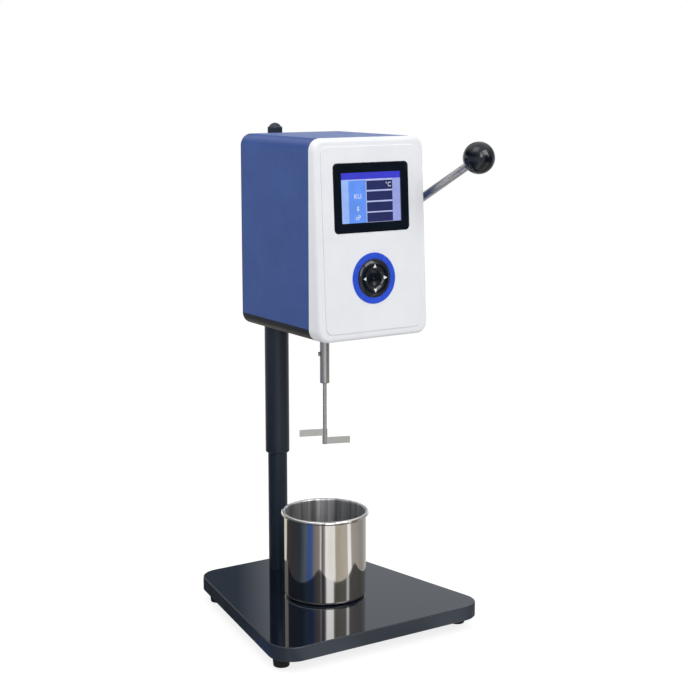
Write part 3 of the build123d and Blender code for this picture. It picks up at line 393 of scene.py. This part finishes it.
def display():
    picture = lcd_depth + ink
    top = [(0, 1, header_low, 1)]
    header = flat_piece("lcd_header", top, picture, lit("lcd_header", srgb(64, 66, 208)), "head")
    strip = [(0, label_left, 0, header_low)]
    edge = flat_piece("lcd_strip", strip, picture, lit("lcd_strip", srgb(158, 190, 252)), "head")
    columns = [(label_left, field_left - line_w, 0, header_low - header_gap)]
    labels = flat_piece("lcd_labels", columns, picture, lit("lcd_labels", srgb(104, 154, 250)), "head")
    gaps = [(field_left - line_w, field_left, 0, header_low)]
    gaps.append((field_left, field_right, row_starts[0] + row_h, header_low))
    gaps.append((label_left, field_left - line_w, header_low - header_gap, header_low))
    for upper, lower in zip(row_starts, row_starts[1:]):
        gaps.append((field_left, field_right, lower + row_h, upper))
    gaps.append((field_left, field_right, 0, row_starts[-1]))
    lines = flat_piece("lcd_lines", gaps, picture, lit("lcd_lines", srgb(190, 198, 245)), "head")
    rows = [(field_left, field_right, start, start + row_h) for start in row_starts]
    fields = flat_piece("lcd_fields", rows, picture, lit("lcd_fields", srgb(44, 48, 98)), "head")
    side = [(field_right, 1, 0, header_low)]
    margin = flat_piece("lcd_margin", side, picture, lit("lcd_margin", srgb(158, 168, 230)), "head")


def unit(name, words, share_x, share_v, size):
    """A unit of measurement in plain letters on the display."""
    curve = bpy.data.curves.new(name, "FONT")
    curve.body = words
    curve.size = size
    curve.align_x = "CENTER"
    curve.align_y = "CENTER"
    curve.materials.append(unit_ink)
    piece = bpy.data.objects.new(name, curve)
    bpy.context.scene.collection.objects.link(piece)
    x = (share_x - 0.5) * lcd_w
    v = lcd_v + (share_v - 0.5) * lcd_h
    turn = Matrix((Vector((1, 0, 0)), face_up, face_out)).transposed().to_4x4()
    piece.matrix_world = Matrix.Translation(on_face(x, v, lcd_depth + 2 * ink)) @ turn
    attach(piece, "head")


unit_ink = lit("lcd_letters", srgb(235, 240, 255))
display()
unit("unit_temperature", "°C", degree_share, row_starts[0] + row_h / 2, degree_size)
unit("unit_krebs", "KU", unit_share, row_starts[1] + row_h / 2, unit_size)
unit("unit_load", "g", unit_share, row_starts[2] + row_h / 2, unit_size)
unit("unit_viscosity", "cP", unit_share, row_starts[3] + row_h / 2, unit_size)


def crown_height(radius):
    """Height of the direction keys over the face, this far from the pad's centre."""
    crest = (key_inner_r + key_outer_r) / 2
    half = (key_outer_r - key_inner_r) / 2
    ball = (half**2 + key_crown**2) / (2 * key_crown)
    return key_rim + key_crown - ball + sqrt(ball**2 - (radius - crest) ** 2)


def key_arrow(name, body, turn):
    """A white triangle printed on a direction key, draped over its crown."""
    steps = 6
    mesh = bmesh.new()
    rows = []
    for row in range(steps + 1):
        reach = arrow_r + arrow_size * (1 - 2 * row / steps)
        half = arrow_size * row / steps
        points = []
        for column in range(row + 1):
            across = -half + 2 * half * column / row if row else 0.0
            x = across * cos(turn) - reach * sin(turn)
            v = across * sin(turn) + reach * cos(turn)
            height = crown_height(sqrt(across**2 + reach**2)) + ink
            points.append(mesh.verts.new(on_face(x, keypad_v + v, height)))
        rows.append(points)
    for above, below in zip(rows, rows[1:]):
        for column, point in enumerate(above):
            mesh.faces.new((point, below[column], below[column + 1]))
            if column:
                mesh.faces.new((above[column - 1], below[column], point))
    piece = finish_piece(name, mesh, arrow_paint.material, body)


arrow_paint = moulded("white_print", srgb(236, 238, 240), srgb(244, 246, 248), low=0.4, high=0.5)
for step, name in enumerate(("up", "left", "down", "right")):
    key_arrow(f"arrow_{name}", f"{name}_key", step * pi / 2)


# Camera, floor and light


def look_from(azimuth, elevation):
    return Vector((sin(azimuth) * cos(elevation), -cos(azimuth) * cos(elevation), sin(elevation)))


lens = bpy.data.cameras.new("photo_camera")
lens.sensor_width = film_width
lens.lens = film_width * focal_px / photo_width_px
lens.shift_x = 0.5 - optical_centre_px[0] / photo_width_px
lens.shift_y = optical_centre_px[1] / photo_width_px - 0.5
camera = bpy.data.objects.new("photo_camera", lens)
bpy.context.scene.collection.objects.link(camera)
toward_camera = look_from(view_azimuth, view_elevation)
camera.location = view_target + toward_camera * view_distance
camera.rotation_euler = (-toward_camera).to_track_quat("-Z", "Y").to_euler()
bpy.context.scene.camera = camera

camera_bearing = -pi / 2 + view_azimuth


def band(start, end, color):
    """One wall or lamp of the room, from one bearing to another."""
    return [(start, color), (end, color)]


# The studio as metal sees it: angles in degrees to the right of the camera's side, and colours
pale_wall = (0.66, 0.7, 0.76)
dark_door = (0.13, 0.16, 0.21)
cream_wall = (0.72, 0.68, 0.6)
bright_lamp = (4.6, 4.6, 4.8)
slim_lamp = (2.6, 2.6, 2.7)
studio = [
    *band(-180, -177.4, pale_wall),
    *band(-176.6, -164, dark_door),
    *band(-158, -131, cream_wall),
    (-127, (0.05, 0.045, 0.05)),
    (-92, (0.045, 0.04, 0.045)),
    (-70, (0.03, 0.045, 0.06)),
    (-52, (0.1, 0.12, 0.15)),
    (-44, (0.05, 0.1, 0.3)),
    (-33, (0.06, 0.11, 0.3)),
    (-29, (0.2, 0.18, 0.19)),
    (-14, (0.3, 0.27, 0.27)),
    (-11, (0.85, 0.84, 0.86)),
    (-7, (0.1, 0.1, 0.12)),
    (1, (0.45, 0.42, 0.42)),
    *band(6, 23, bright_lamp),
    (27, (0.48, 0.45, 0.38)),
    (57, (0.52, 0.48, 0.42)),
    (62, (0.55, 0.52, 0.5)),
    *band(65, 70, slim_lamp),
    (74, (0.4, 0.37, 0.35)),
    (120, (0.34, 0.33, 0.31)),
    (146, (0.5, 0.49, 0.47)),
    (168, pale_wall),
]

# The far end of the room, seen level: bright behind, and dark where the screen looks
white_wall = (1.3, 1.32, 1.38)
grey_wall = (0.75, 0.75, 0.76)
black_wall = (0.04, 0.05, 0.07)
side_wall = (0.5, 0.5, 0.5)
horizon = [
    *band(-180, -150, white_wall),
    (-138, (0.5, 0.52, 0.56)),
    (-60, (0.42, 0.44, 0.48)),
    *band(0, 32, grey_wall),
    *band(42, 96, black_wall),
    *band(106, 138, side_wall),
    (150, white_wall),
]


def studio_colors(tree, place, walls):
    """The colour of these walls for a direction or a spot on the floor, by its bearing."""
    split = tree.nodes.new("ShaderNodeSeparateXYZ")
    bearing = tree.nodes.new("ShaderNodeMath")
    bearing.operation = "ARCTAN2"
    share = tree.nodes.new("ShaderNodeMath")
    share.operation = "MULTIPLY_ADD"
    share.inputs[1].default_value = 1 / tau
    share.inputs[2].default_value = 0.5 - camera_bearing / tau
    wrapped = tree.nodes.new("ShaderNodeMath")
    wrapped.operation = "FRACT"
    ramp = tree.nodes.new("ShaderNodeValToRGB")
    tree.links.new(place, split.inputs["Vector"])
    tree.links.new(split.outputs["Y"], bearing.inputs[0])
    tree.links.new(split.outputs["X"], bearing.inputs[1])
    tree.links.new(bearing.outputs["Value"], share.inputs[0])
    tree.links.new(share.outputs["Value"], wrapped.inputs[0])
    tree.links.new(wrapped.outputs["Value"], ramp.inputs["Fac"])
    stops = ramp.color_ramp.elements
    for index, (angle, color) in enumerate(walls):
        place_on_ramp = (angle + 180) / 360
        stop = stops[index] if index < 1 else stops.new(place_on_ramp)
        stop.position = place_on_ramp
        stop.color = (*color, 1.0)
    stops[len(stops) - 1].color = (*walls[0][1], 1.0)
    return ramp.outputs["Color"], split.outputs["Z"]


def faded(tree, value, start, end, first, second):
    """The first colour up to start, the second from end, and a blend between them."""
    spread = tree.nodes.new("ShaderNodeMapRange")
    spread.inputs["From Min"].default_value = start
    spread.inputs["From Max"].default_value = end
    mix = tree.nodes.new("ShaderNodeMix")
    mix.data_type = "RGBA"
    tree.links.new(value, spread.inputs["Value"])
    tree.links.new(spread.outputs["Result"], mix.inputs["Factor"])
    tree.links.new(first, mix.inputs["A"])
    tree.links.new(second, mix.inputs["B"])
    return mix.outputs["Result"]


def mixed(tree, factor, first, second):
    mix = tree.nodes.new("ShaderNodeMixShader")
    tree.links.new(factor, mix.inputs["Fac"])
    tree.links.new(first, mix.inputs[1])
    tree.links.new(second, mix.inputs[2])
    return mix.outputs["Shader"]


room_light = 0.62
ceiling_color = (0.95, 0.96, 1.0, 1.0)
level_band = (0.1, 0.2)
ceiling_band = (0.45, 0.75)
floor_strip_limit = 1.0
floor_near = 0.9
floor_far = 1.6
floor_half = 30.0
floor_bounce = 0.7
floor_glow = 0.82
floor_tone = 0.3


def light_room():
    world = bpy.data.worlds.new("studio")
    bpy.context.scene.world = world
    world.use_nodes = True
    tree = world.node_tree
    tree.nodes.clear()
    place = tree.nodes.new("ShaderNodeTexCoord")
    bands, height = studio_colors(tree, place.outputs["Generated"], studio)
    level = studio_colors(tree, place.outputs["Generated"], horizon)[0]
    bands = faded(tree, height, *level_band, level, bands)
    ceiling = tree.nodes.new("ShaderNodeRGB")
    ceiling.outputs["Color"].default_value = ceiling_color
    overhead = faded(tree, height, *ceiling_band, bands, ceiling.outputs["Color"])
    seen = tree.nodes.new("ShaderNodeBackground")
    reflected = tree.nodes.new("ShaderNodeBackground")
    soft = tree.nodes.new("ShaderNodeBackground")
    soft.inputs["Strength"].default_value = room_light
    tree.links.new(overhead, reflected.inputs["Color"])
    for background in (seen, soft):
        background.inputs["Color"].default_value = (1, 1, 1, 1)
    ray = tree.nodes.new("ShaderNodeLightPath")
    glossy = ray.outputs["Is Glossy Ray"]
    lit_room = mixed(tree, glossy, soft.outputs["Background"], reflected.outputs["Background"])
    whole = mixed(tree, ray.outputs["Is Camera Ray"], lit_room, seen.outputs["Background"])
    output = tree.nodes.new("ShaderNodeOutputWorld")
    tree.links.new(whole, output.inputs["Surface"])


def floor_material():
    material = bpy.data.materials.new("pale_floor")
    material.use_nodes = True
    tree = material.node_tree
    tree.nodes.clear()
    place = tree.nodes.new("ShaderNodeTexCoord")
    bands = studio_colors(tree, place.outputs["Object"], studio)[0]
    level = studio_colors(tree, place.outputs["Object"], horizon)[0]
    capped = tree.nodes.new("ShaderNodeVectorMath")
    capped.operation = "MINIMUM"
    capped.inputs[1].default_value = (floor_strip_limit,) * 3
    away = tree.nodes.new("ShaderNodeVectorMath")
    away.operation = "LENGTH"
    tree.links.new(bands, capped.inputs[0])
    tree.links.new(place.outputs["Object"], away.inputs[0])
    around = faded(tree, away.outputs["Value"], floor_near, floor_far, capped.outputs["Vector"], level)
    reflected = tree.nodes.new("ShaderNodeEmission")
    tree.links.new(around, reflected.inputs["Color"])
    bounce = tree.nodes.new("ShaderNodeBsdfDiffuse")
    bounce.inputs["Color"].default_value = (floor_bounce, floor_bounce, floor_bounce, 1)
    glow = tree.nodes.new("ShaderNodeEmission")
    glow.inputs["Strength"].default_value = floor_glow
    shade = tree.nodes.new("ShaderNodeBsdfDiffuse")
    shade.inputs["Color"].default_value = (floor_tone, floor_tone, floor_tone, 1)
    seen = tree.nodes.new("ShaderNodeAddShader")
    tree.links.new(glow.outputs["Emission"], seen.inputs[0])
    tree.links.new(shade.outputs["BSDF"], seen.inputs[1])
    ray = tree.nodes.new("ShaderNodeLightPath")
    other = mixed(tree, ray.outputs["Is Glossy Ray"], bounce.outputs["BSDF"], reflected.outputs["Emission"])
    whole = mixed(tree, ray.outputs["Is Camera Ray"], other, seen.outputs["Shader"])
    output = tree.nodes.new("ShaderNodeOutputMaterial")
    tree.links.new(whole, output.inputs["Surface"])
    return material


def lay_floor():
    mesh = bmesh.new()
    bmesh.ops.create_grid(mesh, x_segments=1, y_segments=1, size=floor_half)
    data = bpy.data.meshes.new("floor")
    mesh.to_mesh(data)
    mesh.free()
    data.materials.append(floor_material())
    floor = bpy.data.objects.new("floor", data)
    bpy.context.scene.collection.objects.link(floor)


def soft_box(name, azimuth, elevation, distance, size, strength, shows):
    """A square lamp aimed at the head; its strength is what it adds to a white surface."""
    data = bpy.data.lights.new(name, "AREA")
    data.shape = "SQUARE"
    data.size = size
    data.energy = strength * (pi * distance) ** 2
    lamp = bpy.data.objects.new(name, data)
    bpy.context.scene.collection.objects.link(lamp)
    aim = look_from(radians(azimuth), radians(elevation))
    lamp.location = view_target + aim * distance
    lamp.rotation_euler = aim.to_track_quat("Z", "Y").to_euler()
    lamp.visible_camera = False
    lamp.visible_glossy = shows


light_room()
lay_floor()
soft_box("key_light", azimuth=18, elevation=38, distance=2.2, size=1.1, strength=0.34, shows=True)
soft_box("top_light", azimuth=-70, elevation=68, distance=1.8, size=1.0, strength=0.16, shows=True)
soft_box("side_light", azimuth=-112, elevation=50, distance=0.6, size=0.5, strength=0.2, shows=False)

bpy.context.scene.view_settings.view_transform = "Standard"
